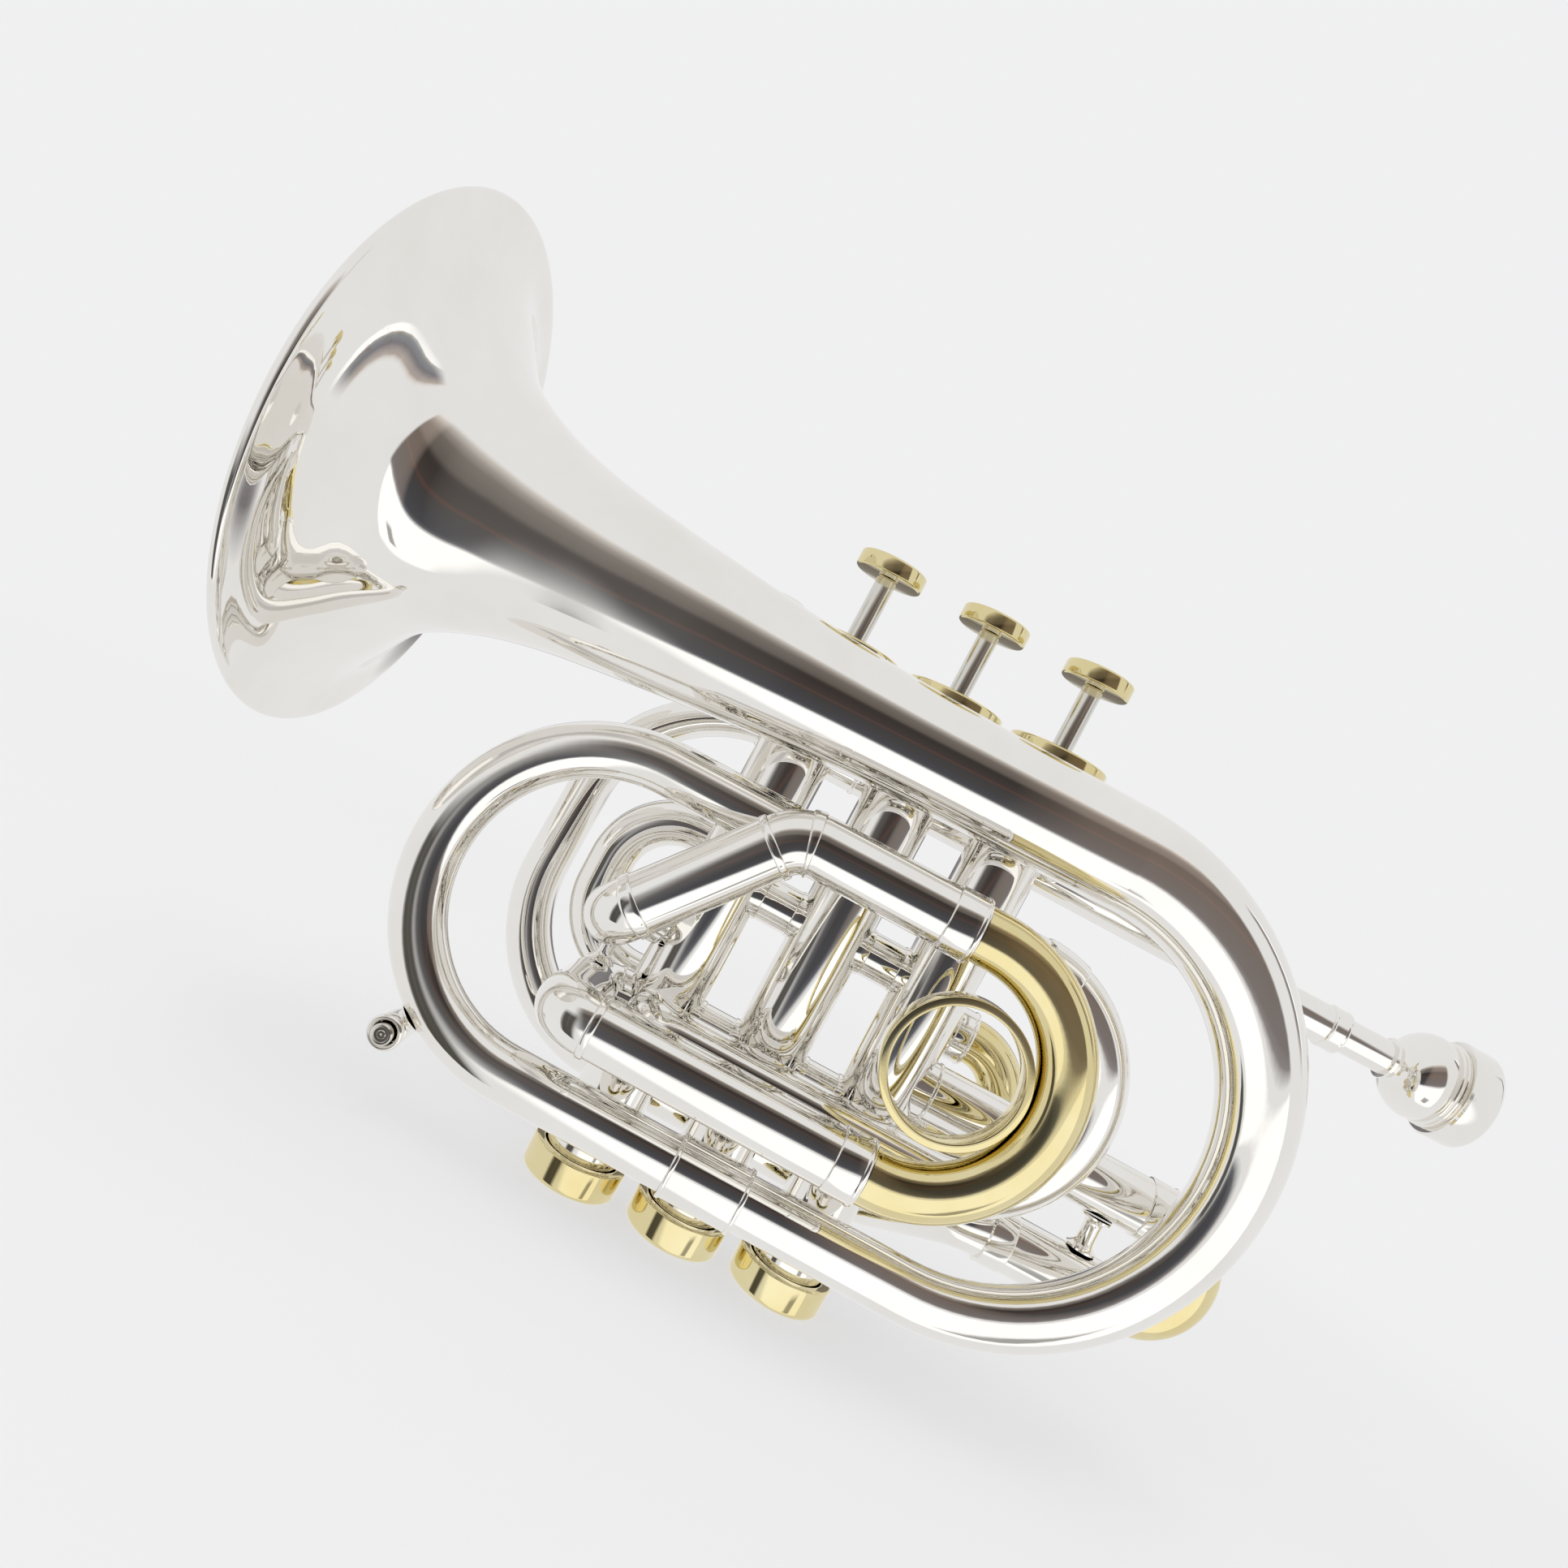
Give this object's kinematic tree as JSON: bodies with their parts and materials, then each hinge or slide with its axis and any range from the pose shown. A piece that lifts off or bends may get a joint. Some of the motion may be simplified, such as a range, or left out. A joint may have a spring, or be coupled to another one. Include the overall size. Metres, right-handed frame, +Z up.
{
  "type": "pocket trumpet",
  "caption": "Compact brass wind instrument with piston valves, coiled tubing, a flared bell, pull-out tuning slides and a push-button water key.",
  "frame": {"origin": "centre of the flat underside of the middle valve's bottom cap", "axes": "+X towards the mouthpiece along the bell's axis, -Y towards the player's left, +Z up the valves towards the finger buttons"},
  "size_m": [0.3062, 0.131, 0.1911],
  "materials": {
    "silver_plate": "polished silver plating on brass",
    "lacquered_brass": "polished brass under clear lacquer",
    "nickel_silver": "polished nickel silver",
    "spring_steel": "bare drawn spring wire"
  },
  "bodies": {
    "root": {"valve_casing_1": "silver_plate", "valve_casing_2": "silver_plate", "valve_casing_3": "silver_plate", "bottom_cap_1": "lacquered_brass", "bottom_cap_2": "lacquered_brass", "bottom_cap_3": "lacquered_brass", "top_cap_1": "lacquered_brass", "top_cap_2": "lacquered_brass", "top_cap_3": "lacquered_brass", "valve_spring_1": "spring_steel", "valve_spring_2": "spring_steel", "valve_spring_3": "spring_steel", "knuckle_lower_3_2": "silver_plate", "knuckle_upper_3_2": "silver_plate", "knuckle_lower_2_1": "silver_plate", "knuckle_upper_2_1": "silver_plate", "bell": "silver_plate", "bell_tail_bow": "silver_plate", "bell_ferrule": "silver_plate", "front_bow": "silver_plate", "rear_bow": "silver_plate", "third_upper_leg": "silver_plate", "third_lower_leg": "silver_plate", "third_leg_post": "silver_plate", "crossover_bow": "silver_plate", "tuning_upper_leg": "silver_plate", "tuning_lower_leg": "silver_plate", "tuning_brace": "silver_plate", "leadpipe": "silver_plate", "leadpipe_bow": "silver_plate", "far_leg": "silver_plate", "mouthpiece_receiver": "silver_plate", "first_upper_leg": "silver_plate", "first_lower_leg": "silver_plate", "second_upper_leg": "silver_plate", "second_lower_leg": "silver_plate", "water_key_body": "silver_plate", "little_finger_hook": "silver_plate", "bell_brace_front": "silver_plate", "bell_brace_rear": "silver_plate"},
    "valve_1": {"piston_1": "nickel_silver", "valve_stem_1": "nickel_silver", "finger_button_1": "lacquered_brass"},
    "valve_2": {"piston_2": "nickel_silver", "valve_stem_2": "nickel_silver", "finger_button_2": "lacquered_brass"},
    "valve_3": {"piston_3": "nickel_silver", "valve_stem_3": "nickel_silver", "finger_button_3": "lacquered_brass"},
    "third_slide": {"third_slide_bow": "lacquered_brass", "third_slide_tube_upper": "nickel_silver", "third_slide_tube_lower": "nickel_silver", "finger_ring": "lacquered_brass"},
    "main_tuning_slide": {"tuning_slide": "lacquered_brass"},
    "first_valve_slide": {"first_slide": "lacquered_brass"},
    "second_valve_slide": {"second_slide": "lacquered_brass"},
    "key_plunger": {"water_key_plunger": "nickel_silver"},
    "mouthpiece_body": {"mouthpiece": "silver_plate"}
  },
  "joints": [
    {"name": "valve_1_press", "type": "slide", "parent": "root", "child": "valve_1", "axis": [0, 0, -1], "range_m": [0, 0.0165], "stiffness_N_per_m": 80, "springref_m": -0.03, "deforming": ["valve_spring_1"]},
    {"name": "valve_2_press", "type": "slide", "parent": "root", "child": "valve_2", "axis": [0, 0, -1], "range_m": [0, 0.0165], "stiffness_N_per_m": 80, "springref_m": -0.03, "deforming": ["valve_spring_2"]},
    {"name": "valve_3_press", "type": "slide", "parent": "root", "child": "valve_3", "axis": [0, 0, -1], "range_m": [0, 0.0165], "stiffness_N_per_m": 80, "springref_m": -0.03, "deforming": ["valve_spring_3"]},
    {"name": "third_slide_pull", "type": "slide", "parent": "root", "child": "third_slide", "axis": [1, 0, 0], "range_m": [0, 0.025]},
    {"name": "tuning_slide_pull", "type": "slide", "parent": "root", "child": "main_tuning_slide", "axis": [1, 0, 0], "range_m": [0, 0.03]},
    {"name": "first_slide_pull", "type": "slide", "parent": "root", "child": "first_valve_slide", "axis": [1, 0, 0], "range_m": [0, 0.007]},
    {"name": "second_slide_pull", "type": "slide", "parent": "root", "child": "second_valve_slide", "axis": [0, 1, 0], "range_m": [0, 0.01]},
    {"name": "water_key_press", "type": "slide", "parent": "root", "child": "key_plunger", "axis": [0, 1, 0], "range_m": [0, 0.0015], "stiffness_N_per_m": 300, "springref_m": -0.003},
    {"name": "mouthpiece_pull", "type": "slide", "parent": "root", "child": "mouthpiece_body", "axis": [1, 0, 0], "range_m": [0, 0.022]}
  ]
}
